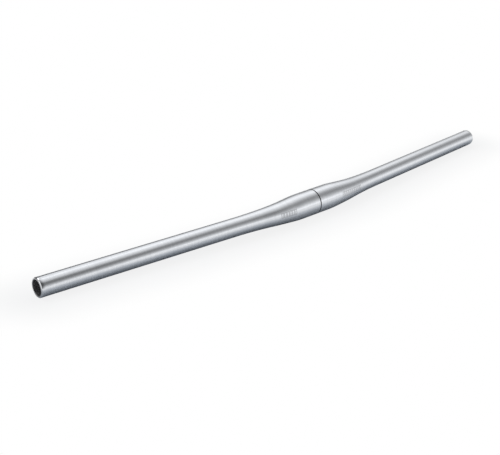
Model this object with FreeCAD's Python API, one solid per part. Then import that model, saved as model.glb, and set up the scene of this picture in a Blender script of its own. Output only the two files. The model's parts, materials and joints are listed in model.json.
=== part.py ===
import FreeCAD, Part
import math
import os

# A flat bicycle handlebar: one aluminium tube, thick in the middle where the stem clamps it,
# drawn down to grip size on both sides and bent back a little within each taper.
# It lies as it comes to rest on a table, on the thick middle and both tips.
# Origin at the centre of the clamp zone, +X along the clamp zone, +Y towards the swept-back tips.

# Driving dimensions, millimetres and degrees
overall_width = 760.0      # between the centres of the two end faces, square across the bicycle
back_sweep = 6.0           # angle between each arm and the clamp zone
clamp_diameter = 31.8      # outside, in the stem
clamp_length = 44.0        # full-diameter length that a stem grips
grip_diameter = 22.2       # outside, under grips, levers and shifters
shoulder_length = 16.0     # convex start of the taper, next to the clamp zone
cone_length = 22.0         # straight-sided middle of the taper
fade_length = 68.0         # long concave end of the taper, into the arm
bend_offset = 40.0         # from the clamp zone's end to the corner where the two axes meet
bend_radius = 200.0        # of the tube's centre line
clamp_wall = 2.6           # wall thickness in the clamp zone
grip_wall = 2.0            # wall thickness of the drawn arms
groove_width = 1.0         # turned ring that marks the middle
groove_depth = 0.3
tip_chamfer = 1.0          # on the outer edge of both tips
rim_break = 0.2            # on the edge of the bore at both tips
bend_steps = 8             # equal steps between the cross-sections that shape a bend

# Lengths that follow from them, along the centre line from the middle
sweep = math.radians(back_sweep)
clamp_end = clamp_length / 2
shoulder_end = clamp_end + shoulder_length
cone_end = shoulder_end + cone_length
taper_end = cone_end + fade_length
bend_corner = clamp_end + bend_offset
bend_tangent = bend_radius * math.tan(sweep / 2)
bend_start = bend_corner - bend_tangent
bend_end = bend_start + bend_radius * sweep
arm_past_corner = (overall_width / 2 - bend_corner) / math.cos(sweep)
bar_end = bend_end + arm_past_corner - bend_tangent
grip_length = bar_end - taper_end

# The rest attitude: the tips sink until they touch the same table as the thick middle.
tip_set_back = (arm_past_corner - tip_chamfer) * math.sin(sweep)
lie_angle = math.degrees(math.asin((clamp_diameter - grip_diameter) / 2 / tip_set_back))

ORIGIN = FreeCAD.Vector(0, 0, 0)
X_AXIS = FreeCAD.Vector(1, 0, 0)
Z_AXIS = FreeCAD.Vector(0, 0, 1)


def bend_angle(station):
    """How far the centre line has turned at this distance from the middle, in radians."""
    return min(max((station - bend_start) / bend_radius, 0.0), sweep)


def centre_point(station):
    """Point of the centre line at this distance from the middle."""
    angle = bend_angle(station)
    before = min(station, bend_start)
    after = max(station - bend_end, 0.0)
    x = before + bend_radius * math.sin(angle) + after * math.cos(angle)
    y = bend_radius * (1 - math.cos(angle)) + after * math.sin(angle)
    return FreeCAD.Vector(x, y, 0)


def direction(station):
    """Unit tangent of the centre line."""
    angle = bend_angle(station)
    return FreeCAD.Vector(math.cos(angle), math.sin(angle), 0)


def taper_radius(station, clamp_radius, grip_radius):
    """Radius along the bar: constant, convex shoulder, cone, concave fade, constant."""
    slope = (clamp_radius - grip_radius) / (shoulder_length / 2 + cone_length + fade_length / 2)
    if station <= clamp_end:
        return clamp_radius
    if station <= shoulder_end:
        return clamp_radius - slope * (station - clamp_end) ** 2 / (2 * shoulder_length)
    if station <= cone_end:
        return clamp_radius - slope * (shoulder_length / 2 + station - shoulder_end)
    if station <= taper_end:
        return grip_radius + slope * (taper_end - station) ** 2 / (2 * fade_length)
    return grip_radius


def cross_section(station, radius):
    """Round section of the tube, square to the centre line."""
    circle = Part.makeCircle(radius, ORIGIN, X_AXIS)
    circle.rotate(ORIGIN, Z_AXIS, math.degrees(bend_angle(station)))
    circle.translate(centre_point(station))
    return Part.Wire(circle)


def turned_stretch(start, end, clamp_radius, grip_radius):
    """Solid of revolution between two stations where the centre line is straight."""
    def side_point(station):
        return FreeCAD.Vector(station - start, taper_radius(station, clamp_radius, grip_radius), 0)

    changes = [mark for mark in (shoulder_end, cone_end) if start < mark < end]
    marks = [start] + changes + [end]
    edges = [Part.makeLine(ORIGIN, side_point(start))]
    for near, far in zip(marks, marks[1:]):
        pole = side_point((near + far) / 2) * 2 - (side_point(near) + side_point(far)) / 2
        parabola = Part.BezierCurve()
        parabola.setPoles([side_point(near), pole, side_point(far)])
        edges.append(parabola.toShape())
    foot = FreeCAD.Vector(end - start, 0, 0)
    edges += [Part.makeLine(side_point(end), foot), Part.makeLine(foot, ORIGIN)]
    solid = Part.Face(Part.Wire(edges)).revolve(ORIGIN, X_AXIS, 360)
    solid.rotate(ORIGIN, Z_AXIS, math.degrees(bend_angle(start)))
    solid.translate(centre_point(start))
    return solid


def bent_stretch(clamp_radius, grip_radius):
    """Solid round the bend, through sections that go on shrinking along it."""
    step = (bend_end - bend_start) / bend_steps
    stations = [bend_start + step * index for index in range(bend_steps + 1)]
    sections = [cross_section(s, taper_radius(s, clamp_radius, grip_radius)) for s in stations]
    return Part.makeLoft(sections, True)


def half_bar(clamp_radius, grip_radius, narrowing):
    """Solid of round sections from the middle to one tip, where a short cone narrows or widens it."""
    way = direction(bar_end)
    cone = abs(narrowing)
    straight = grip_length - cone
    tip_radius = grip_radius - narrowing
    clamp = Part.makeCylinder(clamp_radius, clamp_end, ORIGIN, X_AXIS)
    shoulder = turned_stretch(clamp_end, bend_start, clamp_radius, grip_radius)
    bend = bent_stretch(clamp_radius, grip_radius)
    fade = turned_stretch(bend_end, taper_end, clamp_radius, grip_radius)
    arm = Part.makeCylinder(grip_radius, straight, centre_point(taper_end), way)
    tip = Part.makeCone(grip_radius, tip_radius, cone, centre_point(bar_end - cone), way)
    return clamp.fuse([shoulder, bend, fade, arm, tip])


def both_sides(half):
    """The half and its mirror image, joined at the middle."""
    return half.fuse(half.mirror(ORIGIN, X_AXIS))


def centre_groove():
    """Ring that is turned out of the clamp zone to mark the middle."""
    outer = clamp_diameter / 2
    start = FreeCAD.Vector(-groove_width / 2, 0, 0)
    collar = Part.makeCylinder(outer + groove_depth, groove_width, start, X_AXIS)
    return collar.cut(Part.makeCylinder(outer - groove_depth, groove_width, start, X_AXIS))


def handlebar_tube():
    """The whole bar, hollow from tip to tip, in its rest attitude."""
    grip_radius = grip_diameter / 2
    bore_radius = grip_radius - grip_wall
    outside = both_sides(half_bar(clamp_diameter / 2, grip_radius, tip_chamfer))
    bore = both_sides(half_bar(clamp_diameter / 2 - clamp_wall, bore_radius, -rim_break))
    bar = outside.cut(bore).cut(centre_groove())
    bar.rotate(ORIGIN, X_AXIS, -lie_angle)
    return bar


os.makedirs("parts", exist_ok=True)
tube = handlebar_tube()
tube.exportStep("parts/handlebar_tube.step")
print("solids", len(tube.Solids), "valid", tube.isValid(), "volume", round(tube.Volume), "mm3")
print("box", tube.BoundBox)
print("lies tipped back by", round(lie_angle, 4), "degrees, straight arm", round(grip_length, 3), "mm")
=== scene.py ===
# %% [markdown]
# A flat bicycle handlebar is one aluminium tube. It is thick in the middle, where the stem clamps it,
# and it is drawn down to grip size on both sides and bent back a little. This lesson dresses the solid
# that the frame brings: it makes a finer mesh of the same form, gives it a brushed silver finish,
# and lights it on a plain pale floor. Loading the frame comes first, because every size follows from it.

# %% Load the fixed frame
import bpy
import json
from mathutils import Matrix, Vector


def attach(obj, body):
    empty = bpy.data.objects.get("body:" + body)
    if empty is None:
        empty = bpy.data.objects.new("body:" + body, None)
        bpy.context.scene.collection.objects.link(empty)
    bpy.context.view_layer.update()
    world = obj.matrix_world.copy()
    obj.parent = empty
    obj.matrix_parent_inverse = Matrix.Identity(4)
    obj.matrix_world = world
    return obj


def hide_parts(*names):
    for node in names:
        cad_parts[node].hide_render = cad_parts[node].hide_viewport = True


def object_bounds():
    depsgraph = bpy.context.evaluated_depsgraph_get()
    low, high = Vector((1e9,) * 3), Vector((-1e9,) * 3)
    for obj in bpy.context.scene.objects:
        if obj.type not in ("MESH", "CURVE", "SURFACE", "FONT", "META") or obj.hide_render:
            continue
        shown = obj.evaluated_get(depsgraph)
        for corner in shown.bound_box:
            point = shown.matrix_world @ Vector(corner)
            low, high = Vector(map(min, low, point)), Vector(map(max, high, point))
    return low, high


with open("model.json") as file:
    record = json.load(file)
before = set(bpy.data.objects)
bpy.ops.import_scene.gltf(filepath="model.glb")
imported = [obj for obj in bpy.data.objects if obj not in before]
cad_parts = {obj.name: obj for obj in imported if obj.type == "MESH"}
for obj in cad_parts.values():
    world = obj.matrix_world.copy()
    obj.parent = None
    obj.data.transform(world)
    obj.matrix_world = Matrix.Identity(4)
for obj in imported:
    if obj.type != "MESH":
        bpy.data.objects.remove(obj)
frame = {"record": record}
cad_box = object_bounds()
print("the solid reaches from", [round(x, 4) for x in cad_box[0]], "to", [round(x, 4) for x in cad_box[1]])

# %% [markdown]
# The record lists where other things fasten to the bar: the clamp zone, the two straight arms and their
# open ends. Those entries hold real radii, lengths, places and directions, so the mesh can be worked out
# from them. Typing the sizes in again would also work, but then the two models could drift apart.

# %% Sizes that the frame gives
import math
import bpy
from mathutils import Matrix, Vector

MM = 0.001
mounts = {mount["name"]: mount for mount in frame["record"]["mounts"]}
clamp_radius = mounts["stem_clamp"]["dims"]["r_mm"] * MM
clamp_end = mounts["stem_clamp"]["dims"]["length_mm"] * MM / 2
arm_radius = mounts["left_grip"]["dims"]["r_mm"] * MM
arm_length = mounts["left_grip"]["dims"]["length_mm"] * MM
arm_middle = Vector(mounts["left_grip"]["pos_m"])
arm_way = Vector(mounts["left_grip"]["axis"])
bore_radius = mounts["left_end_bore"]["dims"]["r_mm"] * MM
print("clamp radius", clamp_radius, "arm radius", arm_radius, "bore radius", bore_radius, "metres")

# %% [markdown]
# The centre line is straight through the clamp zone, turns through one arc on each side, and is straight
# again along the arms. A curve object with a bevel could follow it, but its rings would be spaced by the
# curve and not by the tube's shape. Here a station, the distance along the line from the middle, is the
# one number that places everything, and a small function turns it into a point and a direction.

# %% Centre line of the bar
BEND_RADIUS = 200 * MM
TIP_CHAMFER = 1.0 * MM
sweep = math.acos(arm_way.x)
lie = math.atan2(-arm_way.z, arm_way.y)
set_back = math.hypot(arm_middle.y, arm_middle.z)
corner = arm_middle.x - set_back / math.tan(sweep)
tangent_length = BEND_RADIUS * math.tan(sweep / 2)
bend_start = corner - tangent_length
bend_end = bend_start + BEND_RADIUS * sweep
taper_end = bend_end - tangent_length + set_back / math.sin(sweep) - arm_length / 2
bar_end = taper_end + arm_length + TIP_CHAMFER
laid_down = Matrix.Rotation(-lie, 3, "X")


def section_place(station):
    """Centre of the section at a station, and the level direction square to the centre line."""
    side = math.copysign(1, station)
    distance = abs(station)
    turned = min(max((distance - bend_start) / BEND_RADIUS, 0), sweep)
    past_bend = max(distance - bend_end, 0)
    x = min(distance, bend_start) + BEND_RADIUS * math.sin(turned) + past_bend * math.cos(turned)
    y = BEND_RADIUS * (1 - math.cos(turned)) + past_bend * math.sin(turned)
    return Vector((side * x, y, 0)), Vector((-side * math.sin(turned), math.cos(turned), 0))


print("sweep", round(math.degrees(sweep), 2), "degrees, lies tipped by", round(math.degrees(lie), 2),
      "degrees, tip at station", round(bar_end, 4))

# %% [markdown]
# From the clamp zone the tube runs through a short convex shoulder, a straight cone and a long concave
# fade into the arm. Two parabolas and a line give that profile with no kink between them. The bore
# follows the same profile with its own radii, because the wall is thicker where the stem squeezes it.

# %% Radius along the bar
SHOULDER = 16 * MM
CONE = 22 * MM
CLAMP_WALL = 2.6 * MM
shoulder_end = clamp_end + SHOULDER
cone_end = shoulder_end + CONE
fade = taper_end - cone_end


def tapered(station, wide, narrow):
    """Radius at a station, from wide in the clamp zone to narrow in the arm."""
    slope = (wide - narrow) / (SHOULDER / 2 + CONE + fade / 2)
    if station <= clamp_end:
        return wide
    if station <= shoulder_end:
        return wide - slope * (station - clamp_end) ** 2 / (2 * SHOULDER)
    if station <= cone_end:
        return wide - slope * (SHOULDER / 2 + station - shoulder_end)
    if station <= taper_end:
        return narrow + slope * (taper_end - station) ** 2 / (2 * fade)
    return narrow


print("radius at the shoulder's end", round(tapered(shoulder_end, clamp_radius, arm_radius) / MM, 2),
      "mm, at the cone's end", round(tapered(cone_end, clamp_radius, arm_radius) / MM, 2), "mm")

# %% [markdown]
# A ring is turned into the middle of the clamp zone, so that a mechanic can centre the bar in the stem.
# Both tips are cut square, with a chamfer on the outer edge and a smaller break at the bore. Small forms
# like these catch the light, so they are real geometry. A Bevel modifier could cut them, but listed rings
# keep every size exact. Half of the section is pairs of station and radius, from the ring to the tip and
# back through the bore, and the pairs lie closer together where the shape changes.

# %% Half of the section
GROOVE_WIDTH = 1.0 * MM
GROOVE_DEPTH = 0.3 * MM
GROOVE_EDGE = 0.06 * MM
RIM_BREAK = 0.2 * MM
RIM_EDGE = 0.12 * MM
CLAMP_STEP, TAPER_STEP, ARM_STEP, BORE_STEP = 2.0 * MM, 1.6 * MM, 4.0 * MM, 6.0 * MM


def spread(start, end, step):
    """Evenly spaced stations from start up to, and without, end."""
    count = math.ceil((end - start) / step)
    return [start + (end - start) * index / count for index in range(count)]


groove_side = GROOVE_WIDTH / 2
groove_floor = clamp_radius - GROOVE_DEPTH
chamfer_start = bar_end - TIP_CHAMFER
outside = [(groove_side, groove_floor), (groove_side, clamp_radius - GROOVE_EDGE)]
stations = spread(groove_side + GROOVE_EDGE, clamp_end, CLAMP_STEP) + spread(clamp_end, taper_end, TAPER_STEP)
stations += spread(taper_end, chamfer_start - RIM_EDGE, ARM_STEP) + [chamfer_start - RIM_EDGE]
outside += [(station, tapered(station, clamp_radius, arm_radius)) for station in stations]
face_radius = arm_radius - TIP_CHAMFER
chamfer = [(chamfer_start + RIM_EDGE, arm_radius - RIM_EDGE), (bar_end - RIM_EDGE, face_radius + RIM_EDGE)]
cut_face = [(bar_end, face_radius - RIM_EDGE), (bar_end, bore_radius + RIM_BREAK),
            (bar_end - RIM_BREAK, bore_radius)]
bore_stations = spread(BORE_STEP / 2, bar_end - BORE_STEP / 2, BORE_STEP)
bore = [(s, tapered(s, clamp_radius - CLAMP_WALL, bore_radius)) for s in reversed(bore_stations)]
half_section = outside + chamfer + cut_face + bore
print("half of the section has", len(half_section), "rings,", len(bore), "of them in the bore")

# %% [markdown]
# The other half is the mirror image, so the whole section is a closed loop of rings, and bridging each
# ring to the next makes a watertight tube. Every point also keeps its place on a straightened bar:
# the station and the two distances from the axis. The finish is drawn in those coordinates, so its lines
# run round the tube through the bends as they do on a bar that was polished before it was bent. One more
# value says how raw the metal is: 0 on the brushed outside, more on the turned chamfers, and 1 on the
# sawn faces and in the bore.

# %% The tube's mesh
SEGMENTS = 120
SHARP_ANGLE = math.radians(32)
CHAMFER_RAW = 0.4
rawness = [0.0] * len(outside) + [CHAMFER_RAW] * len(chamfer) + [1.0] * len(cut_face + bore)
lined = [(station, radius, raw) for (station, radius), raw in zip(half_section, rawness)]
loop = lined + [(-station, radius, raw) for station, radius, raw in reversed(lined)]
points, straight, unpolished = [], [], []
for station, radius, raw in loop:
    centre, level = section_place(station)
    for segment in range(SEGMENTS):
        angle = 2 * math.pi * segment / SEGMENTS
        across, above = radius * math.cos(angle), radius * math.sin(angle)
        points.append(laid_down @ (centre + level * across + Vector((0, 0, above))))
        straight.extend((station, across, above))
        unpolished.append(raw)
faces = []
for ring in range(len(loop)):
    here, there = ring * SEGMENTS, (ring + 1) % len(loop) * SEGMENTS
    for segment in range(SEGMENTS):
        following = (segment + 1) % SEGMENTS
        faces.append((here + following, here + segment, there + segment, there + following))
tube_mesh = bpy.data.meshes.new("handlebar")
tube_mesh.from_pydata(points, [], faces)
tube_mesh.attributes.new("straight", "FLOAT_VECTOR", "POINT").data.foreach_set("vector", straight)
tube_mesh.attributes.new("unpolished", "FLOAT", "POINT").data.foreach_set("value", unpolished)
tube_mesh.shade_smooth()
tube_mesh.set_sharp_from_angle(angle=SHARP_ANGLE)
print("tube mesh:", len(points), "points,", len(faces), "faces, clean:", not tube_mesh.validate())

# %% [markdown]
# The mesh becomes an object that stands in for the solid. It rides on the only body, and the solid's
# own part is hidden.

# %% The handlebar in the frame
handlebar = bpy.data.objects.new("handlebar", tube_mesh)
bpy.context.scene.collection.objects.link(handlebar)
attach(handlebar, "root")
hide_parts("handlebar_tube")
first_normal = tube_mesh.polygons[len(outside) * SEGMENTS // 2].normal
print("handlebar rides on root; a normal of the outside is", [round(x, 2) for x in first_normal])

# %% [markdown]
# Materials are graphs of nodes, and writing each node and link by hand soon hides what is meant. One
# small class wraps a socket, so that sums and products read as Python and add their Math nodes by
# themselves. Every other kind of node comes from its one method: the type, then its settings, then what
# goes into its sockets.

# %% A socket that can be calculated with
class Value:
    """An output socket of a node tree, with arithmetic and one way to add any node."""

    def __init__(self, tree, socket=None):
        self.tree = tree
        self.socket = socket

    def node(self, kind, settings=None, inputs=None, output=0):
        """Adds a node, sets its settings, then its sockets, and returns one of its outputs."""
        made = self.tree.nodes.new(kind)
        for name, setting in (settings or {}).items():
            setattr(made, name, setting)
        for name, given in (inputs or {}).items():
            if isinstance(given, Value):
                self.tree.links.new(given.socket, made.inputs[name])
            else:
                made.inputs[name].default_value = given
        return Value(self.tree, made.outputs[output] if made.outputs else None)

    def math(self, operation, *values):
        """Adds a Math node that works on the given values."""
        return self.node("ShaderNodeMath", {"operation": operation}, dict(enumerate(values)))

    def axis(self, name):
        """The X, Y or Z part of this vector."""
        return self.node("ShaderNodeSeparateXYZ", None, {"Vector": self}, output=name)

    def __add__(self, other):
        return self.math("ADD", self, other)

    def __radd__(self, other):
        return self.math("ADD", other, self)

    def __sub__(self, other):
        return self.math("SUBTRACT", self, other)

    def __rsub__(self, other):
        return self.math("SUBTRACT", other, self)

    def __mul__(self, other):
        return self.math("MULTIPLY", self, other)

    def __rmul__(self, other):
        return self.math("MULTIPLY", other, self)

    def smooth(self, low, high):
        """Goes softly from 0 at low to 1 at high."""
        settings = {"interpolation_type": "SMOOTHSTEP"}
        return self.node("ShaderNodeMapRange", settings, {"Value": self, "From Min": low, "From Max": high})

    def blend(self, start, end):
        """Colour that goes from start, where this value is 0, to end, where it is 1."""
        # A Mix node has its two colours at inputs 6 and 7, and the mixed colour at output 2.
        sockets = {0: self, 6: start, 7: end}
        return self.node("ShaderNodeMix", {"data_type": "RGBA"}, sockets, output=2)


def empty_tree(owner):
    """Clears an owner's nodes and returns the start of a new graph."""
    owner.use_nodes = True
    owner.node_tree.nodes.clear()
    return Value(owner.node_tree)


own_methods = [name for name in vars(Value) if not name.startswith("__")]
print("besides arithmetic, a Value has", ", ".join(own_methods))

# %% [markdown]
# The bar was brushed on a lathe, so its lines run round it: they are close together along the bar and
# long round it. Noise that is stretched round the bar makes them. Two sizes are mixed, because even
# strokes look printed. The lines shift the colour a little, the gloss a little, and through a Bump node
# they spread the reflections along the bar, as real strokes do.

# %% Brushed strokes
BROAD_STROKES = 420.0
FINE_STROKES = 2300.0
ROUND_STROKES = 30.0
BROAD_DETAIL, FINE_DETAIL, STROKE_ROUGHNESS = 3.0, 2.0, 0.6


def strokes(tree, straight_place, per_metre, detail):
    """Noise in lines that run round the bar, so many of them for each metre along it."""
    stretched = tree.node("ShaderNodeVectorMath", {"operation": "MULTIPLY"},
                          {0: straight_place, 1: (per_metre, ROUND_STROKES, ROUND_STROKES)})
    return tree.node("ShaderNodeTexNoise", {"noise_dimensions": "3D"},
                     {"Vector": stretched, "Scale": 1.0, "Detail": detail, "Roughness": STROKE_ROUGHNESS})


stretches = [round(count / ROUND_STROKES) for count in (BROAD_STROKES, FINE_STROKES)]
print("the two sizes of stroke are stretched", stretches, "times")

# %% [markdown]
# Beside the clamp zone a bar often carries an etched scale, which helps to set it square. Etching leaves
# a matt grey, tone on tone, and here a plain panel on the front of each shoulder holds a row of ticks
# that stayed bright. The panel on the rider's left is the longer one. Cutting them would need many more
# faces, so they are masks: each is 1 where its conditions hold, along the bar and round it.

# %% Etched scale
SCALE_START, SCALE_END, SCALE_EXTRA = 42 * MM, 66 * MM, 16 * MM
TICK_PITCH, TICK_WIDTH = 4 * MM, 1.2 * MM
SCALE_ANGLE, PANEL_HALF_ANGLE, TICK_HALF_ANGLE = math.radians(2), math.radians(14), math.radians(9)


def etched_scale(tree, along, across, above):
    """Masks of the matt panels on both shoulders and of the bright ticks in them."""
    distance = tree.math("ABSOLUTE", along)
    scale_end = SCALE_END + SCALE_EXTRA * tree.math("GREATER_THAN", along, 0.0)
    within = tree.math("GREATER_THAN", distance, SCALE_START) * tree.math("LESS_THAN", distance, scale_end)
    angle = tree.math("ARCTAN2", above, 0 - across)
    beside = tree.math("ABSOLUTE", angle - SCALE_ANGLE)
    panel = within * tree.math("LESS_THAN", beside, PANEL_HALF_ANGLE)
    phase = tree.math("PINGPONG", distance - SCALE_START - TICK_PITCH / 2, TICK_PITCH / 2)
    tick = tree.math("LESS_THAN", phase, TICK_WIDTH / 2)
    return panel, panel * tick * tree.math("LESS_THAN", beside, TICK_HALF_ANGLE)


tick_counts = [round((length - SCALE_START) / TICK_PITCH) for length in (SCALE_END, SCALE_END + SCALE_EXTRA)]
print("the two scales have", tick_counts, "ticks")

# %% [markdown]
# Now the finish itself. Aluminium is a metal, so its colour tints the reflections, and a clear satin
# roughness blurs them. The turned ring is painted dark, a painted shade that spreads a little past its
# edges. The cut faces and the bore were never polished, so they are duller; their colour is a darker grey.
# One material with masks keeps the tube a single piece, where a material for each zone would split it.

# %% Brushed aluminium
SILVER_LIGHT = (0.764, 0.784, 0.816, 1)
SILVER_SHADE = (0.668, 0.69, 0.726, 1)
ETCHED_GREY = (0.50, 0.51, 0.53, 1)
# painted shade: a near-black colour painted into the turned ring, on a band a little wider than its groove
RING_PAINTED_SHADE = (0.02, 0.02, 0.023, 1)
PAINTED_SHADE_WIDTH = 1.7 * MM
# the cut faces and the bore are given a darker grey colour than the outside
BORE_GREY = (0.55, 0.55, 0.56, 1)
SATIN, STROKE_GLOSS, BORE_MATT, ETCH_MATT = 0.20, 0.04, 0.22, 0.16
BROAD_SHARE, FINE_SHARE, ETCH_SHARE = 0.45, 0.55, 0.7
STROKE_LOW, STROKE_MEAN, STROKE_HIGH = 0.3, 0.5, 0.7
BUMP_STRENGTH, BUMP_HEIGHT = 0.06, 0.02 * MM


def brushed_aluminium():
    """The one finish of the bar: brushed outside, dull bore, painted shade in the ring and etched scale."""
    material = bpy.data.materials.new("brushed_aluminium")
    tree = empty_tree(material)
    place = tree.node("ShaderNodeAttribute", {"attribute_name": "straight"}, output="Vector")
    raw = tree.node("ShaderNodeAttribute", {"attribute_name": "unpolished"}, output="Fac")
    along = place.axis("X")
    broad = strokes(tree, place, BROAD_STROKES, BROAD_DETAIL)
    fine = strokes(tree, place, FINE_STROKES, FINE_DETAIL)
    brushing = broad * BROAD_SHARE + fine * FINE_SHARE
    # painted shade in the ring: a band round the middle of the clamp zone is made near black
    painted_ring_shade = tree.math("LESS_THAN", tree.math("ABSOLUTE", along), PAINTED_SHADE_WIDTH / 2)
    painted_ring_shade = painted_ring_shade * (1 - raw)
    panel, ticks = etched_scale(tree, along, place.axis("Y"), place.axis("Z"))
    etched = (panel - ticks) * (1 - raw)
    colour = brushing.smooth(STROKE_LOW, STROKE_HIGH).blend(SILVER_SHADE, SILVER_LIGHT)
    colour = (etched * ETCH_SHARE).blend(colour, ETCHED_GREY)
    # the painted shade of the ring goes into the colour here
    colour = painted_ring_shade.blend(colour, RING_PAINTED_SHADE)
    colour = raw.blend(colour, BORE_GREY)
    gloss = SATIN + STROKE_GLOSS * (brushing - STROKE_MEAN) + BORE_MATT * raw + ETCH_MATT * etched
    bump = tree.node("ShaderNodeBump", None,
                     {"Strength": BUMP_STRENGTH, "Distance": BUMP_HEIGHT, "Height": brushing})
    shader = tree.node("ShaderNodeBsdfPrincipled", None,
                       {"Base Color": colour, "Metallic": 1.0, "Roughness": gloss, "Normal": bump})
    tree.node("ShaderNodeOutputMaterial", None, {"Surface": shader})
    return material


tube_mesh.materials.append(brushed_aluminium())
print("the finish has", len(tube_mesh.materials[0].node_tree.nodes), "nodes")

# %% [markdown]
# The bar lies on a plain pale floor that runs on past the edge of the picture. Close to the bar the floor
# is lit like any other surface, so it keeps the contact shadow, and the metal mirrors that shadow as its
# dark lower edge. A few centimetres off it fades to a plain white glow, for the camera and for reflections
# alike, so that no edge of the light shows. The fade follows the bar's own line, bends and all. For the
# camera alone the shadow is lightened as well, as a white studio sweep would lighten it.

# %% Pale floor
FLOOR_HALF = 400.0
FLOOR_WHITE = (0.53, 0.57, 0.62, 1)
SHADOW_LIFT = 0.85
GLOW_START, GLOW_END = 0.004, 0.085
bar_reach = cad_box[1][0]
plan_slope = math.tan(sweep) * math.cos(lie)


def pale_floor():
    """White floor that keeps the shadow near the bar and glows plainly far from it."""
    material = bpy.data.materials.new("pale_floor")
    tree = empty_tree(material)
    place = tree.node("ShaderNodeNewGeometry", output="Position")
    along = tree.math("ABSOLUTE", place.axis("X"))
    bar_line = plan_slope * tree.math("MAXIMUM", along - corner, 0.0)
    beside = place.axis("Y") - bar_line
    past_tip = tree.math("MAXIMUM", along - bar_reach, 0.0)
    away = tree.math("SQRT", past_tip * past_tip + beside * beside)
    camera = tree.node("ShaderNodeLightPath", output="Is Camera Ray")
    glossy = tree.node("ShaderNodeLightPath", output="Is Glossy Ray")
    through = tree.node("ShaderNodeLightPath", output="Is Transmission Ray")
    seen = tree.math("MAXIMUM", tree.math("MAXIMUM", camera, glossy), through)
    far = away.smooth(GLOW_START, GLOW_END)
    share = seen * far + SHADOW_LIFT * camera * (1 - far)
    lit = tree.node("ShaderNodeBsdfDiffuse", None, {"Color": FLOOR_WHITE})
    glow = tree.node("ShaderNodeEmission", None, {"Color": (1, 1, 1, 1), "Strength": 1.0})
    mixed = tree.node("ShaderNodeMixShader", None, {0: share, 1: lit, 2: glow})
    tree.node("ShaderNodeOutputMaterial", None, {"Surface": mixed})
    return material


floor_height = cad_box[0][2]
corners = [(x, y, floor_height) for x, y in ((-1, -1), (1, -1), (1, 1), (-1, 1))]
floor_mesh = bpy.data.meshes.new("floor")
floor_mesh.from_pydata([(x * FLOOR_HALF, y * FLOOR_HALF, z) for x, y, z in corners], [], [(0, 1, 2, 3)])
floor_mesh.materials.append(pale_floor())
floor = bpy.data.objects.new("floor", floor_mesh)
bpy.context.scene.collection.objects.link(floor)
print("the floor lies at", round(floor_height, 4), "m")

# %% [markdown]
# One large soft lamp hangs high behind the bar. It lights the floor, drops a soft shadow in front of the
# bar, and shows as a clean bright band in the metal when the bar is seen from the sides. An area light is
# right for it, because its size sets how soft the shadow is. Its strength is given as the brightness of
# its face, so a larger or smaller lamp stays as bright to look at.

# %% Soft light
def compass(azimuth, elevation):
    """Direction in degrees: azimuth 0 points along +Y and 90 along +X, and elevation is above the floor."""
    turn, rise = math.radians(azimuth), math.radians(elevation)
    return Vector((math.sin(turn) * math.cos(rise), math.cos(turn) * math.cos(rise), math.sin(rise)))


def soft_light(name, azimuth, elevation, distance, width, height, radiance):
    """Rectangular light that faces the bar from a compass direction."""
    way = compass(azimuth, elevation)
    data = bpy.data.lights.new(name, "AREA")
    data.shape, data.size, data.size_y = "RECTANGLE", width, height
    data.energy = radiance * math.pi * width * height
    light = bpy.data.objects.new(name, data)
    light.location = way * distance
    light.rotation_euler = way.to_track_quat("Z", "Y").to_euler()
    light.visible_camera = False
    bpy.context.scene.collection.objects.link(light)
    print(name, "gives", round(data.energy, 1), "watts")


soft_light("back_softbox", azimuth=345, elevation=58, distance=6.0, width=3.0, height=2.6, radiance=3.8)

# %% [markdown]
# Polished metal shows its surroundings, so the bands on a bar are a picture of the studio. The rest of the
# studio is the world's colour: a dim room with soft patches of light, each given by a compass direction,
# a height, a sharpness and a strength. The patches on the right and overhead make the bright band along
# the top of the bar. Two low ones just under the horizon make the bright line below the middle. The dim room
# between low and high is the dark band. Two small ones on the left light the chamfer of the near tip, and
# a broad one behind the bar keeps its far side silver. Area lights could do this too, but each would show
# its straight edges in the metal.

# %% The room
ROOM_LEVEL = 0.02
RIGHT_PATCHES = ((50, 38, 14, 0.48), (70, 36, 14, 0.62), (70, 10, 14, 0.30), (135, 30, 14, 0.20),
                 (32, 36, 80, 0.50))
TOP_PATCHES = ((58, 56, 14, 0.28), (52, 62, 50, 0.40), (100, 66, 16, 0.70), (137, 60, 50, 0.22))
HORIZON_PATCHES = ((122, -10, 9, 1.20), (158, -10, 9, 1.20))
LEFT_PATCHES = ((254, 12, 26, 1.60), (282, 32, 26, 1.60))
BACK_PATCHES = ((305, 52, 5, 0.50),)

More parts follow.
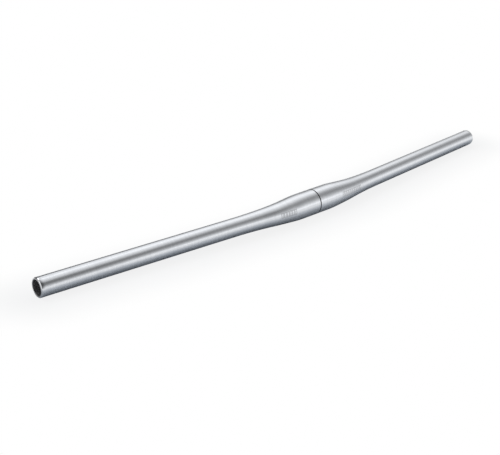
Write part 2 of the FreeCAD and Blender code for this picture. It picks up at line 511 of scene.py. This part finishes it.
world = bpy.data.worlds.new("studio")
bpy.context.scene.world = world
room = empty_tree(world)
direction = room.node("ShaderNodeTexCoord", output="Generated")
brightness = ROOM_LEVEL
patches = RIGHT_PATCHES + TOP_PATCHES + HORIZON_PATCHES + LEFT_PATCHES + BACK_PATCHES
for azimuth, elevation, sharpness, strength in patches:
    sockets = {0: direction, 1: compass(azimuth, elevation)}
    near = room.node("ShaderNodeVectorMath", {"operation": "DOT_PRODUCT"}, sockets, output="Value")
    brightness = brightness + strength * room.math("EXPONENT", sharpness * (near - 1.0))
backdrop = room.node("ShaderNodeBackground", None, {"Color": (1, 1, 1, 1), "Strength": brightness})
room.node("ShaderNodeOutputWorld", None, {"Surface": backdrop})
print("the room has", len(patches), "patches of light")

# %% [markdown]
# The camera stands in front of the bar, off the rider's right-hand end, and looks down on it a little,
# with a short telephoto lens and a small roll. Its place follows from the point that it aims at,
# three angles and a distance.

# %% Camera
AIM = Vector((-0.106812, 0.0, -0.004499))
AZIMUTH, ELEVATION, ROLL = 45.212, 22.013, math.radians(0.746)
DISTANCE = 1.240498
SENSOR_WIDTH, LENS, FARTHEST = 36.0, 76.735, 1000.0
ahead = compass(AZIMUTH, -ELEVATION)
level_right = ahead.cross(Vector((0, 0, 1))).normalized()
level_up = level_right.cross(ahead)
right = level_right * math.cos(ROLL) + level_up * math.sin(ROLL)
camera_data = bpy.data.cameras.new("camera")
camera_data.sensor_fit = "HORIZONTAL"
camera_data.sensor_width = SENSOR_WIDTH
camera_data.lens = LENS
camera_data.clip_end = FARTHEST
camera = bpy.data.objects.new("camera", camera_data)
axes = Matrix((right, right.cross(ahead), -ahead)).transposed()
camera.matrix_world = Matrix.Translation(AIM - ahead * DISTANCE) @ axes.to_4x4()
bpy.context.scene.collection.objects.link(camera)
bpy.context.scene.camera = camera
bpy.context.scene.view_settings.view_transform = "Standard"
print("camera at", [round(x, 4) for x in camera.matrix_world.translation])

# %% [markdown]
# Last, the json module is loaded.

# %% The json module
import json
